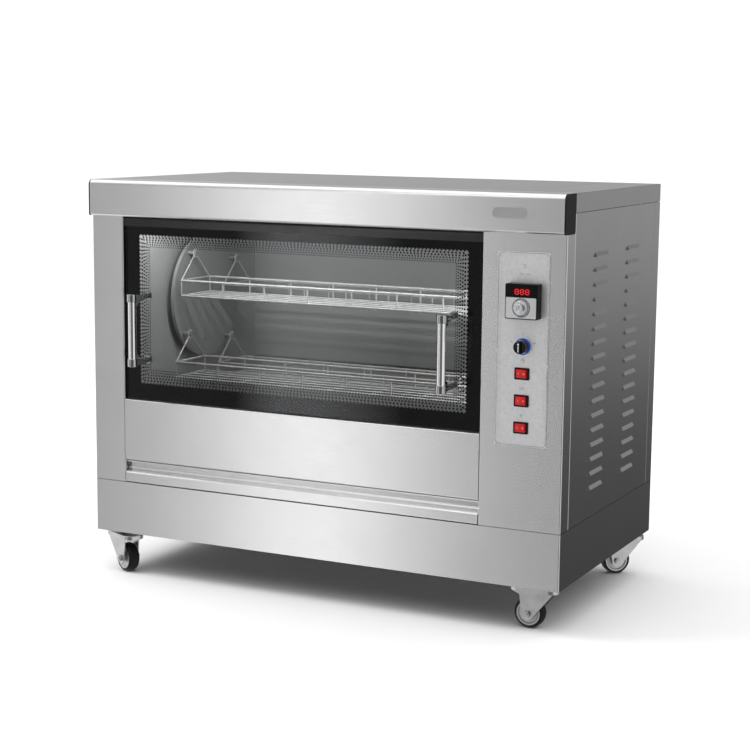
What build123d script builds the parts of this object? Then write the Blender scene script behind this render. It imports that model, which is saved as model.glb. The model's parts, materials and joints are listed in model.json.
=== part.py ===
from build123d import *
import os
from math import cos, radians, sin, sqrt

# Commercial rotisserie oven on casters. Millimetres, +X right, +Y to the back, +Z up.
# Everything is drawn in cabinet coordinates: x from the left side of the body, y from the
# body's front face, z from the floor. save() then moves it to the row's own origin, the
# point on the floor under the centre of the whole oven's bounding box.

# ---- driving dimensions ----
BODY_W = 1100.0
BODY_D = 590.0
BODY_TOP = 877.0
SHEET = 1.5
LINER_SHEET = 1.2
BEND = 2.5
SEAM = 1.0

SKIRT_Z0 = 95.0
SKIRT_Z1 = 211.0
HEM = 8.0

STILE_W = 79.0
COLUMN_W = 175.0
JAMB_D = 14.0
CORNER_D = 43.0
POST_Z0 = SKIRT_Z1 + SEAM
POST_Z1 = 798.5

TRAY_FRONT_Z0 = 212.5
TRAY_FRONT_Z1 = 260.5
LOWER_PANEL_Z0 = 262.0
LOWER_PANEL_Z1 = 397.5

HOOD_Z0 = 799.0
HOOD_OUT = 13.0
HOOD_BACK = 73.0
HOOD_R = 12.0
CAP_T = 3.0

SIDE_Y0 = 44.0
SIDE_Y1 = 549.0
SIDE_Z1 = 838.0
REAR_POST_Y0 = 550.0
REAR_POST_W = 40.0

LOUVRE_L = 74.0
LOUVRE_OUT = 4.0
LOUVRE_ROWS = 17
LOUVRE_PITCH = 29.8
LOUVRE_TOP_Z = 750.0
LOUVRE_YS = (199.0, 402.0)

OPENING_X0 = STILE_W
OPENING_X1 = BODY_W - COLUMN_W
CAVITY_MID_X = (OPENING_X0 + OPENING_X1) / 2
LINER_X0 = 84.0
LINER_X1 = 2 * CAVITY_MID_X - LINER_X0
LINER_Y0 = 16.0
LINER_Y1 = 557.2
LINER_Z0 = 264.0
LINER_Z1 = 816.2

GLASS_T = 5.0
GLASS_Y0 = 5.0
DOOR_GAP = 1.5
DOOR_X0 = OPENING_X0 + DOOR_GAP
DOOR_X1 = OPENING_X1 - DOOR_GAP
GLASS_Z0 = 399.5
HINGE_Y = 8.0
HINGE_Z = 792.5
HINGE_BARREL_R = 4.8
HINGE_PIN_R = 3.0

HANDLE_DX = 362.5
HANDLE_Y = -56.0
HANDLE_R = 9.0
HANDLE_CAP_R = 11.0
HANDLE_CAP_H = 17.0
HANDLE_ZS = (489.5, 629.0)

ROTOR_Y = 299.0
ROTOR_Z = 603.0
ROTOR_PHASE = -7.5
PIN_CIRCLE_R = 130.0
DISC_R = 142.0
DISC_T = 2.0
DISC_X = 105.0
SHAFT_R = 8.0
RUNNING_GAP = 0.05
PIN_R = 4.0

BASKET_X0 = 126.0
BASKET_HALF_W = 60.0
BASKET_RAIL_DZ = -58.0
BASKET_FLOOR_DZ = -92.0
BASKET_BAYS = 7
RAIL_R = 2.5
WIRE_R = 2.0
UPRIGHT_R = 1.75

KNOB_X = 1017.0
KNOB_Z = 656.8
THERMO_X0 = 983.0
THERMO_X1 = 1050.0
THERMO_Z0 = 634.0
THERMO_Z1 = 703.0
THERMO_OUT = 24.0
SELECTOR_X = 1013.4
SELECTOR_Z = 578.6
SWITCH_X = 1013.0
SWITCH_ZS = (525.0, 471.4, 417.7)
SWITCH_W = 31.0
SWITCH_H = 24.0
ROCKER_TILT = 9.0
FASCIA_T = 1.0

WHEEL_R = 31.75
WHEEL_W = 26.0
HUB_W = 33.0
TRAIL = 23.0
PLATE_L = 64.0
PLATE_W = 46.0
# swivel centre x, y and the heading of the fork, which trails behind it
CASTERS = {
    "front_left": (41.0, 41.0, 154.0),
    "front_right": (1044.0, 55.0, 0.0),
    "rear_left": (42.0, 549.0, 201.0),
    "rear_right": (1057.0, 550.0, 37.0),
}

GLAND_OUT = 20.0
GLAND_X = 1020.0
GLAND_Z = 300.0
GLAND_BORE_R = 5.0

# The handles reach furthest to the front and the cable gland furthest to the back.
HANDLE_REACH = HANDLE_CAP_R - HANDLE_Y
FRONT_Y = -(BODY_D + GLAND_OUT - HANDLE_REACH) / 2
TO_ROW_ORIGIN = Location((-BODY_W / 2, FRONT_Y, 0))


# ---- drawing helpers ----
def save(name, *shapes):
    """Write one node, moved from cabinet coordinates to the row's origin."""
    moved = [TO_ROW_ORIGIN * shape for shape in shapes]
    whole = moved[0] if len(moved) == 1 else Compound(children=moved)
    export_step(whole, f"parts/{name}.step")


def block(x0, x1, y0, y1, z0, z1):
    """Box between two opposite corners."""
    centre = Pos((x0 + x1) / 2, (y0 + y1) / 2, (z0 + z1) / 2)
    return centre * Box(x1 - x0, y1 - y0, z1 - z0)


def rod(start, end, radius):
    """Round bar from one point to another."""
    axis = Vector(*end) - Vector(*start)
    return Solid.make_cylinder(radius, axis.length, Plane(origin=start, z_dir=axis))


def ball(centre, radius):
    """Sphere about a point."""
    return Pos(*centre) * Sphere(radius)


def pull(plane, face, start, end):
    """Face drawn on a base plane, extruded between two offsets of that plane."""
    return extrude(plane.offset(start) * face, amount=end - start, dir=plane.z_dir)


def prism(plane, points, start, end, corner_radius=0):
    """Closed polygon on a base plane, extruded between two offsets."""
    face = make_face(Polyline(*points, close=True))
    if corner_radius:
        face = fillet(face.vertices(), corner_radius)
    return pull(plane, face, start, end)


def rounded_plate(plane, centre, width, height, radius, start, end):
    """Rounded rectangle about a centre, extruded between two offsets."""
    return pull(plane, Pos(*centre) * RectangleRounded(width, height, radius), start, end)


def turn_at(points, i):
    """Sine of the path's turn at a corner, positive to the left."""
    before = (Vector(*points[i]) - Vector(*points[i - 1])).normalized()
    after = (Vector(*points[i + 1]) - Vector(*points[i])).normalized()
    return before.X * after.Y - before.Y * after.X


def offset_path(points, distance):
    """Corners of an open path moved sideways to its left."""
    normals = []
    for start, end in zip(points, points[1:]):
        run = (Vector(*end) - Vector(*start)).normalized()
        normals.append(Vector(-run.Y, run.X))
    moved = []
    for i, point in enumerate(points):
        left = normals[max(i - 1, 0)]
        right = normals[min(i, len(normals) - 1)]
        shift = (left + right) * (distance / (1 + left.dot(right)))
        moved.append(Vector(*point) + shift)
    return moved


def folded_sheet(plane, points, start, end, thickness=SHEET, bends=BEND):
    """Folded sheet metal: an open path, thickened to its left and extruded."""
    count = len(points) - 2
    outer_radii = list(bends) if isinstance(bends, (list, tuple)) else [bends] * count
    inner_radii = []
    for i in range(count):
        side = 1 if turn_at(points, i + 1) > 0 else -1
        inner_radii.append(outer_radii[i] - side * thickness)
    inner = offset_path(points, thickness)
    outer_edge = FilletPolyline(*points, radius=outer_radii)
    inner_edge = FilletPolyline(*inner, radius=inner_radii)
    ends = [Line(points[0], inner[0]), Line(points[-1], inner[-1])]
    return pull(plane, make_face([outer_edge, inner_edge] + ends), start, end)


def mirrored(shape, x):
    """Mirror image across the plane at x."""
    return mirror(shape, about=Plane.YZ.offset(x))


# ---- base ----
def caster_bolt_points(x, y):
    """The four bolt centres of one caster plate."""
    return [(x + sx * 25, y + sy * 15) for sx in (-1, 1) for sy in (-1, 1)]


def base_skirt():
    """Plinth of folded sheet with a hemmed bottom edge and a gusset at each corner."""
    centre = (BODY_W / 2, BODY_D / 2)
    outer = rounded_plate(Plane.XY, centre, BODY_W, BODY_D, BEND, SKIRT_Z0, SKIRT_Z1)
    inside = (BODY_W - 2 * SHEET, BODY_D - 2 * SHEET, BEND - SHEET)
    opening = (BODY_W - 2 * HEM, BODY_D - 2 * HEM, BEND)
    skirt = outer - rounded_plate(Plane.XY, centre, *inside, SKIRT_Z0 + SHEET, SKIRT_Z1 + 1)
    skirt -= rounded_plate(Plane.XY, centre, *opening, SKIRT_Z0 - 1, SKIRT_Z0 + SHEET)
    for x, y, _ in CASTERS.values():
        x0 = SHEET - 0.5 if x < BODY_W / 2 else BODY_W - 120
        y0 = SHEET - 0.5 if y < BODY_D / 2 else BODY_D - 90
        gusset = block(x0, x0 + 120 - SHEET + 0.5, y0, y0 + 90 - SHEET + 0.5, 101, 103)
        gusset -= rod((x, y, 100), (x, y, 104), 11)
        for bx, by in caster_bolt_points(x, y):
            gusset -= rod((bx, by, 100), (bx, by, 104), 3.2)
        skirt += gusset
    return skirt


def base_floor():
    """Floor pan that closes the plinth, with its edges turned down."""
    edge = SHEET
    pan = block(edge, BODY_W - edge, edge, BODY_D - edge, 186, SKIRT_Z1)
    pan = fillet(pan.edges().filter_by(Axis.Z), BEND)
    hollow = block(edge + SHEET, BODY_W - edge - SHEET, edge + SHEET, BODY_D - edge - SHEET, 185,
                   SKIRT_Z1 - SHEET)
    return pan - hollow


# ---- front ----
def left_stile():
    """Narrow upright left of the door, folded round to the side."""
    path = [(0, CORNER_D), (0, 0), (STILE_W, 0), (STILE_W, JAMB_D)]
    stile = folded_sheet(Plane.XY, path, POST_Z0, POST_Z1)
    return stile - rod((STILE_W - 3, HINGE_Y, HINGE_Z), (STILE_W + 1, HINGE_Y, HINGE_Z), 3.1)


def control_column():
    """Wide upright right of the door, cut out for the controls."""
    path = [(OPENING_X1, JAMB_D), (OPENING_X1, 0), (BODY_W, 0), (BODY_W, CORNER_D)]
    column = folded_sheet(Plane.XY, path, POST_Z0, POST_Z1)
    column -= rod((OPENING_X1 - 1, HINGE_Y, HINGE_Z), (OPENING_X1 + 3, HINGE_Y, HINGE_Z), 3.1)
    return column - control_cutouts(-1, 3)


def control_cutouts(y0, y1):
    """Holes that the thermostat, the selector and the switches pass through."""
    holes = [block(THERMO_X0 + 3, THERMO_X1 - 3, y0, y1, THERMO_Z0 + 3, THERMO_Z1 - 3)]
    holes.append(rod((SELECTOR_X, y0, SELECTOR_Z), (SELECTOR_X, y1, SELECTOR_Z), 10.8))
    for z in SWITCH_ZS:
        holes.append(block(SWITCH_X - 13.7, SWITCH_X + 13.7, y0, y1, z - 10.2, z + 10.2))
    return holes


def fascia_plate():
    """Thin plate behind the controls, with a raised rounded border."""
    x0, x1, z0, z1 = 957.5, 1067.0, 381.0, 763.0
    plate = block(x0, x1, -FASCIA_T, 0, z0, z1)
    centre = ((x0 + x1) / 2, (z0 + z1) / 2)
    rim = rounded_plate(Plane.XZ, centre, 96, 368, 9, FASCIA_T - 0.2, FASCIA_T + 0.5)
    rim -= rounded_plate(Plane.XZ, centre, 93, 365, 7.5, 0, 5)
    return plate + rim - control_cutouts(-3, 2)


def lower_front_panel():
    """Fixed panel between the door and the drip tray."""
    path = [(JAMB_D, LOWER_PANEL_Z1), (0, LOWER_PANEL_Z1), (0, LOWER_PANEL_Z0), (JAMB_D, LOWER_PANEL_Z0)]
    return folded_sheet(Plane.YZ, path, OPENING_X0 + 0.5, OPENING_X1 - 0.5)


def front_hood():
    """Overhanging top front rail with a rounded edge."""
    front = -HOOD_OUT
    path = [(HOOD_BACK, BODY_TOP), (front, BODY_TOP), (front, HOOD_Z0 + 4),
            (front + 4, HOOD_Z0), (JAMB_D, HOOD_Z0)]
    return folded_sheet(Plane.YZ, path, CAP_T, BODY_W - CAP_T, bends=[HOOD_R, 3, 3])


def hood_end_caps():
    """Moulded caps that close both ends of the hood."""
    face = make_face(Polyline((-HOOD_OUT, HOOD_Z0), (CORNER_D, HOOD_Z0), (CORNER_D, BODY_TOP),
                              (-HOOD_OUT, BODY_TOP), close=True))
    corners = face.vertices()
    front_top = corners.sort_by(Axis.X)[:2].sort_by(Axis.Y)[-1]
    face = fillet(front_top, HOOD_R)
    others = [v for v in face.vertices() if v.X > 0 or v.Y < HOOD_Z0 + 1]
    face = fillet(others, 4)
    right = pull(Plane.YZ, face, BODY_W - CAP_T, BODY_W)
    return mirrored(right, BODY_W / 2), right


# ---- sides, back and top ----
def louvre(y, z):
    """One pressed louvre on the right side: its hood, and the slot to cut."""
    lip = BODY_W + LOUVRE_OUT
    outer = [(BODY_W - 0.5, z + 6), (lip, z - 2.5), (lip, z - 4), (BODY_W - 0.5, z - 4)]
    inner = [(BODY_W - 2, z + 4.5), (lip - 1.2, z - 3), (lip - 1.2, z - 5), (BODY_W - 2, z - 5)]
    half = LOUVRE_L / 2
    hood = prism(Plane.XZ, outer, -(y + half), -(y - half))
    slot = prism(Plane.XZ, inner, -(y + half - 1.2), -(y - half + 1.2))
    return hood, slot


def right_side_panel():
    """Right side skin with two columns of louvres and returned edges."""
    path = [(BODY_W - 14, SIDE_Y0), (BODY_W, SIDE_Y0), (BODY_W, SIDE_Y1), (BODY_W - 14, SIDE_Y1)]
    panel = folded_sheet(Plane.XY, path, POST_Z0, SIDE_Z1)
    hoods = []
    slots = []
    for y in LOUVRE_YS:
        for row in range(LOUVRE_ROWS):
            hood, slot = louvre(y, LOUVRE_TOP_Z - row * LOUVRE_PITCH)
            hoods.append(hood)
            slots.append(slot)
    return panel + hoods - slots


def rear_posts():
    """Corner uprights at the back, with a short joint line near the top."""
    path = [(BODY_W, REAR_POST_Y0), (BODY_W, BODY_D), (BODY_W - REAR_POST_W, BODY_D)]
    right = folded_sheet(Plane.XY, path, POST_Z0, SIDE_Z1)
    right -= block(BODY_W - 0.7, BODY_W + 1, REAR_POST_Y0 - 1, BODY_D - BEND, 800.6, 801.4)
    return mirrored(right, BODY_W / 2), right


def roof_panel():
    """Top sheet with its side and back edges turned down, and a seamed cover outline."""
    band_z0 = SIDE_Z1 + SEAM
    shell = block(0, BODY_W, SIDE_Y0, BODY_D, band_z0, BODY_TOP)
    shell = fillet(shell.edges().filter_by(Axis.Z).group_by(Axis.Y)[-1], BEND)
    rim = shell.faces().sort_by(Axis.Z)[-1].edges().sort_by(Axis.Y)[1:]
    shell = fillet(rim, 1.5)
    shell -= block(SHEET, BODY_W - SHEET, SIDE_Y0 - 1, BODY_D - SHEET, band_z0 - 1, BODY_TOP - SHEET)
    shell -= block(CAP_T - 1, BODY_W - CAP_T + 1, SIDE_Y0 - 1, HOOD_BACK + SEAM, BODY_TOP - 5, BODY_TOP + 1)
    groove = block(99, 976, 220, 562, BODY_TOP - 0.8, BODY_TOP + 1)
    groove -= block(100.2, 974.8, 221.2, 560.8, BODY_TOP - 2, BODY_TOP + 2)
    return shell - groove


BACK_SCREWS = [(x, z) for x in (60, 305, 550, 795, 1040) for z in (230, 820)]
BACK_SCREWS += [(x, 525) for x in (60, 1040)]


def back_panel():
    """Rear skin with cooling slots behind the motor compartment."""
    y0 = BODY_D - SHEET
    panel = block(41, BODY_W - 41, y0, BODY_D, POST_Z0, SIDE_Z1)
    cuts = [rod((GLAND_X, y0 - 1, GLAND_Z), (GLAND_X, BODY_D + 1, GLAND_Z), 10)]
    for x, z in BACK_SCREWS:
        cuts.append(rod((x, y0 - 1, z), (x, BODY_D + 1, z), 2.2))
    for x in (975, 200, 260):
        for row in range(12):
            z = 560 + row * 18
            cuts.append(rounded_plate(Plane.XZ, (x, z), 46, 5, 2.4, -(BODY_D + 1), -(y0 - 1)))
    return panel - cuts


def panel_screws():
    """Pan-head screws of the back panel."""
    screws = []
    for x, z in BACK_SCREWS:
        head = rod((x, BODY_D, z), (x, BODY_D + 2.4, z), 4.2)
        head = fillet(head.edges().sort_by(Axis.Y)[-1], 1.2)
        head -= block(x - 3, x + 3, BODY_D + 1.2, BODY_D + 3, z - 0.5, z + 0.5)
        head -= block(x - 0.5, x + 0.5, BODY_D + 1.2, BODY_D + 3, z - 3, z + 3)
        screws.append(head + rod((x, BODY_D - 7, z), (x, BODY_D, z), 2.0))
    return screws


def cable_gland():
    """Strain-relief gland for the supply lead, open through its middle."""
    y0, y1 = BODY_D - 10, BODY_D + GLAND_OUT
    hexagon = Pos(GLAND_X, GLAND_Z) * RegularPolygon(14, 6)
    gland = rod((GLAND_X, y0, GLAND_Z), (GLAND_X, y1, GLAND_Z), 10)
    gland = fillet(gland.edges().sort_by(Axis.Y)[-1], 3)
    gland += pull(Plane.XZ, hexagon, -(BODY_D + 7), -BODY_D)
    gland += pull(Plane.XZ, hexagon, -(BODY_D - SHEET), -(BODY_D - 7))
    return gland - rod((GLAND_X, y0 - 1, GLAND_Z), (GLAND_X, y1 + 1, GLAND_Z), GLAND_BORE_R)


# ---- cavity ----
def ring_plate(x0, x1, z0, z1, wall, y0, y1, radius):
    """Rectangular ring facing the front."""
    centre = ((x0 + x1) / 2, (z0 + z1) / 2)
    width, height = x1 - x0, z1 - z0
    outer = rounded_plate(Plane.XZ, centre, width, height, radius + wall, -y1, -y0)
    width -= 2 * wall
    height -= 2 * wall
    return outer - rounded_plate(Plane.XZ, centre, width, height, radius, -y1 - 1, 1 - y0)


def door_frame():
    """Sheet frame round the oven's mouth, behind the glass."""
    outer = block(OPENING_X0 + 0.5, OPENING_X1 - 0.5, JAMB_D + 0.5, LINER_Y0, 385, 812)
    mouth = rounded_plate(Plane.XZ, (CAVITY_MID_X, 590.5), 818, 359, 6, -30, 0)
    return outer - mouth


def door_seal():
    """Silicone cord round the mouth that the glass closes against."""
    x0, x1 = CAVITY_MID_X - 416.5, CAVITY_MID_X + 416.5
    return ring_plate(x0, x1, 403.5, 778.5, 6, 10.3, JAMB_D + 0.5, 7)


def liner_side(holes):
    """Left wall of the cavity with a turned-out front edge."""
    face = LINER_X0 + LINER_SHEET
    path = [(LINER_X0 - 4, LINER_Y0), (face, LINER_Y0), (face, LINER_Y1)]
    wall = folded_sheet(Plane.XY, path, LINER_Z0, LINER_Z1, LINER_SHEET, 2)
    for y, z, radius in holes:
        wall -= rod((LINER_X0 - 5, y, z), (LINER_X0 + 5, y, z), radius)
    return wall


SHAFT_HOLE = (ROTOR_Y, ROTOR_Z, 13)
LAMP_Y = 520.0
LAMP_Z = 760.0
HEATER_R = 4.0
HEATERS = ((512, 542, 428), (430, 480, 785), (130, 180, 322), (410, 460, 322))


def right_liner_holes():
    """Holes for the shaft, the lamp and each heater terminal."""
    holes = [SHAFT_HOLE, (LAMP_Y, LAMP_Z, 20)]
    for front, back, z in HEATERS:
        holes.append((front, z, HEATER_R + 0.5))
        holes.append((back, z, HEATER_R + 0.5))
    return holes


def liner_wrap():
    """Back wall and ceiling of the cavity in one folded sheet."""
    path = [(LINER_Y1, LINER_Z0), (LINER_Y1, LINER_Z1), (LINER_Y0, LINER_Z1)]
    inset = LINER_X0 + LINER_SHEET
    return folded_sheet(Plane.YZ, path, inset, 2 * CAVITY_MID_X - inset, LINER_SHEET, 4)


def insulation():
    """Mineral wool slabs left of, behind and above the cavity."""
    left = block(56, 82, 60, 540, 280, 800) - rod((50, ROTOR_Y, ROTOR_Z), (90, ROTOR_Y, ROTOR_Z), 45)
    back = block(100, 900, LINER_Y1 + 1, 584, 280, 800)
    top = block(100, 900, 60, 540, LINER_Z1 + 2, 852)
    return left, back, top


def hairpin_heater(front, back, z):
    """Tubular element bent into a hairpin, its ends leaving through the right wall."""
    x_out, x_bend = LINER_X1 + 12, 100
    path = FilletPolyline((x_out, front, z), (x_bend, front, z), (x_bend, back, z), (x_out, back, z),
                          radius=14.5)
    section = Plane(origin=(x_out, front, z), z_dir=(-1, 0, 0)) * Circle(HEATER_R)
    tube = sweep(section, path=path)
    for y in (front, back):
        tube += rod((x_out - 1, y, z), (x_out + 12, y, z), 2)
    return tube


def lamp_holder():
    """Lamp socket outside the right wall with its bulb reaching inside."""
    wall = LINER_X1
    holder = rod((wall, LAMP_Y, LAMP_Z), (wall + 3, LAMP_Y, LAMP_Z), 27)
    holder += rod((wall + 2, LAMP_Y, LAMP_Z), (wall + 32, LAMP_Y, LAMP_Z), 17)
    holder += rod((wall - 8, LAMP_Y, LAMP_Z), (wall + 3, LAMP_Y, LAMP_Z), 13)
    holder += rod((wall - 18, LAMP_Y, LAMP_Z), (wall - 7, LAMP_Y, LAMP_Z), 9)
    return holder + ball((wall - 18, LAMP_Y, LAMP_Z), 9)


def lamp_cover():
    """Glass dome over the lamp, flat against the inside of the right wall."""
    wall = LINER_X1 - LINER_SHEET
    outer = rod((wall - 32, LAMP_Y, LAMP_Z), (wall, LAMP_Y, LAMP_Z), 24)
    outer = fillet(outer.edges().sort_by(Axis.X)[0], 9)
    outer += rod((wall - 3, LAMP_Y, LAMP_Z), (wall, LAMP_Y, LAMP_Z), 27)
    inner = rod((wall - 29.5, LAMP_Y, LAMP_Z), (wall + 1, LAMP_Y, LAMP_Z), 21.5)
    inner = fillet(inner.edges().sort_by(Axis.X)[0], 7)
    return outer - inner


def temperature_probe():
    """Thermostat probe standing out of the back wall."""
    x, z, wall = 700, 745, LINER_Y1 - LINER_SHEET
    probe = rod((x, wall - 55, z), (x, wall - 1, z), 3)
    return probe + block(x - 16, x + 16, wall - 2, wall, z - 10, z + 10)


# ---- drip tray ----
def drip_tray():
    """Pan that slides under the cavity, with a grooved front strip as its pull."""
    strip_path = [(LINER_Y0, TRAY_FRONT_Z1), (1.2, TRAY_FRONT_Z1), (13.5, 244), (0, 233),
                  (0, TRAY_FRONT_Z0), (LINER_Y0, TRAY_FRONT_Z0)]
    strip = folded_sheet(Plane.YZ, strip_path, OPENING_X0 + 1, OPENING_X1 - 1, bends=[1.8, 4, 3.6, 2])
    pan = block(96, 908, LINER_Y0 - 1, 540, 216, 249) - block(97, 907, LINER_Y0 + 1, 539, 217, 250)
    for x0, x1 in ((86, 96.5), (907.5, 918)):
        pan += block(x0, x1, LINER_Y0, 540, 248, 249)
    web = block(OPENING_X0 + 1, OPENING_X1 - 1, LINER_Y0 - 1, LINER_Y0, TRAY_FRONT_Z0, TRAY_FRONT_Z1)
    return strip + web + pan


def tray_runners():
    """Angle rails that carry the tray's side flanges."""
    left = block(80, 81.5, 20, 545, SKIRT_Z1, 247.5)
    left += block(80, 94, 20, 545, 246, 247.5)
    left += block(68, 81.5, 20, 545, SKIRT_Z1, SKIRT_Z1 + SHEET)
    return left, mirrored(left, CAVITY_MID_X)


# ---- door ----
def door_glass():
    """Single sheet of tempered glass."""
    z1 = HINGE_Z - HINGE_BARREL_R - 0.2
    centre = ((DOOR_X0 + DOOR_X1) / 2, (GLASS_Z0 + z1) / 2)
    width, height = DOOR_X1 - DOOR_X0, z1 - GLASS_Z0
    return rounded_plate(Plane.XZ, centre, width, height, 3, -(GLASS_Y0 + GLASS_T), -GLASS_Y0)


def door_hinge_rail():
    """Round-backed rail that clamps the glass and turns on the hinge pins."""
    rail = rod((DOOR_X0, HINGE_Y, HINGE_Z), (DOOR_X1, HINGE_Y, HINGE_Z), HINGE_BARREL_R)
    rail += block(DOOR_X0, DOOR_X1, GLASS_Y0 - 1.6, GLASS_Y0, 778, HINGE_Z)
    rail += block(DOOR_X0, DOOR_X1, GLASS_Y0 + GLASS_T, GLASS_Y0 + GLASS_T + 1.2, 780, HINGE_Z)
    for x0, x1 in ((DOOR_X0 - 1, DOOR_X0 + 17), (DOOR_X1 - 17, DOOR_X1 + 1)):
        rail -= rod((x0, HINGE_Y, HINGE_Z), (x1, HINGE_Y, HINGE_Z), HINGE_PIN_R + 0.06)
    return rail


def hinge_brackets():
    """Blocks behind the uprights, each with the pin the door turns on."""
    left = block(62, STILE_W - SHEET, 3, JAMB_D, 780, POST_Z1)
    left += rod((64, HINGE_Y, HINGE_Z), (DOOR_X0 + 15, HINGE_Y, HINGE_Z), HINGE_PIN_R)
    return left, mirrored(left, CAVITY_MID_X)


def handle_bars():
    """Two upright tubes, one on each side of the door."""
    z0 = HANDLE_ZS[0] + HANDLE_CAP_H / 2
    z1 = HANDLE_ZS[1] - HANDLE_CAP_H / 2
    bars = []
    for side in (-1, 1):
        x = CAVITY_MID_X + side * HANDLE_DX
        bars.append(rod((x, HANDLE_Y, z0), (x, HANDLE_Y, z1), HANDLE_R))
    return bars


def handle_bracket(x, z, up):
    """Cast bracket: a cap over the tube's end, a tapered arm and a foot on the glass."""
    half = HANDLE_CAP_H / 2
    cap = rod((x, HANDLE_Y, z - half), (x, HANDLE_Y, z + half), HANDLE_CAP_R)
    cap = fillet(cap.edges(), 1.2)
    start, end = HANDLE_Y + 4, -12
    top = Line((start, z + up * 6.5), (end, z + up * 5))
    tip = Line((end, z + up * 5), (end, z - up * 5))
    belly = ThreePointArc((end, z - up * 5), (-30, z - up * 8.5), (-45, z - up * 19))
    heel = Polyline((-45, z - up * 19), (-46.7, z - up * 19), (-46.7, z - up * 8), (start, z - up * 8),
                    (start, z + up * 6.5))
    arm = pull(Plane.YZ, make_face([top, tip, belly, heel]), x - 5, x + 5)
    foot = rod((x, end - 3, z), (x, 2, z), 6.5)
    foot += rod((x, 1, z), (x, GLASS_Y0, z), 10)
    return cap + arm + foot


def handle_brackets():
    """All four brackets, upper ones and lower ones mirrored about the bar's middle."""
    brackets = []
    for side in (-1, 1):
        for z, up in ((HANDLE_ZS[0], -1), (HANDLE_ZS[1], 1)):
            brackets.append(handle_bracket(CAVITY_MID_X + side * HANDLE_DX, z, up))
    return brackets


# ---- rotor ----
def pin_points():
    """Pin centres (y, z) round the disc: upper rear, upper front, lower front, lower rear."""
    points = []
    for quarter in range(4):
        angle = radians(45 + ROTOR_PHASE + 90 * quarter)
        points.append((ROTOR_Y + PIN_CIRCLE_R * cos(angle), ROTOR_Z + PIN_CIRCLE_R * sin(angle)))
    return points


def left_disc():
    """Pressed disc with a turned-back rim, a hub and four headed basket pins."""
    disc = rod((DISC_X - 6, ROTOR_Y, ROTOR_Z), (DISC_X + DISC_T, ROTOR_Y, ROTOR_Z), DISC_R)
    disc -= rod((DISC_X - 7, ROTOR_Y, ROTOR_Z), (DISC_X, ROTOR_Y, ROTOR_Z), DISC_R - DISC_T)
    disc += rod((DISC_X - 12, ROTOR_Y, ROTOR_Z), (DISC_X + 1, ROTOR_Y, ROTOR_Z), 22)
    for quarter in range(4):
        angle = radians(ROTOR_PHASE + 90 * quarter)
        y, z = ROTOR_Y + 104 * cos(angle), ROTOR_Z + 104 * sin(angle)
        disc -= rod((DISC_X - 1, y, z), (DISC_X + 3, y, z), 3)
    for y, z in pin_points():
        disc += rod((DISC_X + 1, y, z), (BASKET_X0 + 3.4, y, z), PIN_R)
        disc += rod((BASKET_X0 + 1.4, y, z), (BASKET_X0 + 3.4, y, z), 6.5)
    return disc


def idler_disc():
    """Left disc with the stub shaft it turns on."""
    return left_disc() + rod((62, ROTOR_Y, ROTOR_Z), (DISC_X - 11, ROTOR_Y, ROTOR_Z), SHAFT_R)


def drive_shaft():
    """Shaft from the right disc's hub to the gear motor, with its coupling sleeve."""
    hub_face = 2 * CAVITY_MID_X - (DISC_X - 12)
    shaft = rod((hub_face, ROTOR_Y, ROTOR_Z), (960, ROTOR_Y, ROTOR_Z), SHAFT_R)
    shaft += rod((959, ROTOR_Y, ROTOR_Z), (990, ROTOR_Y, ROTOR_Z), 6)
    sleeve = rod((940, ROTOR_Y, ROTOR_Z), (968, ROTOR_Y, ROTOR_Z), 13)
    sleeve = fillet(sleeve.edges(), 1)
    return shaft + sleeve


def shaft_bearings():
    """Flanged bearings on the outside of both cavity walls."""
    left = rod((70, ROTOR_Y, ROTOR_Z), (LINER_X0, ROTOR_Y, ROTOR_Z), 19)
    left += rod((LINER_X0 - 3, ROTOR_Y, ROTOR_Z), (LINER_X0, ROTOR_Y, ROTOR_Z), 28)
    left -= rod((69, ROTOR_Y, ROTOR_Z), (LINER_X0 + 1, ROTOR_Y, ROTOR_Z), SHAFT_R + RUNNING_GAP)
    return left, mirrored(left, CAVITY_MID_X)


def gear_motor():
    """Gearbox with a motor on its end."""
    box = block(976, 1026, ROTOR_Y - 38, ROTOR_Y + 38, ROTOR_Z - 45, ROTOR_Z + 45)
    box = fillet(box.edges().filter_by(Axis.X), 8)
    motor = rod((1025, ROTOR_Y, ROTOR_Z - 12), (1076, ROTOR_Y, ROTOR_Z - 12), 32)
    motor = fillet(motor.edges().sort_by(Axis.X)[-1], 4)
    bore = rod((975, ROTOR_Y, ROTOR_Z), (992, ROTOR_Y, ROTOR_Z), 6 + RUNNING_GAP)
    return box + motor - bore


def motor_bracket():
    """Channel that carries the gear motor clear of the hot wall."""
    path = [(976, ROTOR_Z + 60), (LINER_X1, ROTOR_Z + 60), (LINER_X1, ROTOR_Z - 60), (976, ROTOR_Z - 60)]
    channel = folded_sheet(Plane.XZ, path, -(ROTOR_Y + 52), -(ROTOR_Y - 52), 2.5, 4)
    channel += block(973.5, 976, ROTOR_Y - 52, ROTOR_Y + 52, ROTOR_Z - 60, ROTOR_Z + 60)
    channel -= rod((LINER_X1 - 1, ROTOR_Y, ROTOR_Z), (LINER_X1 + 4, ROTOR_Y, ROTOR_Z), 30)
    return channel - rod((972, ROTOR_Y, ROTOR_Z), (977, ROTOR_Y, ROTOR_Z), 15)


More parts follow.
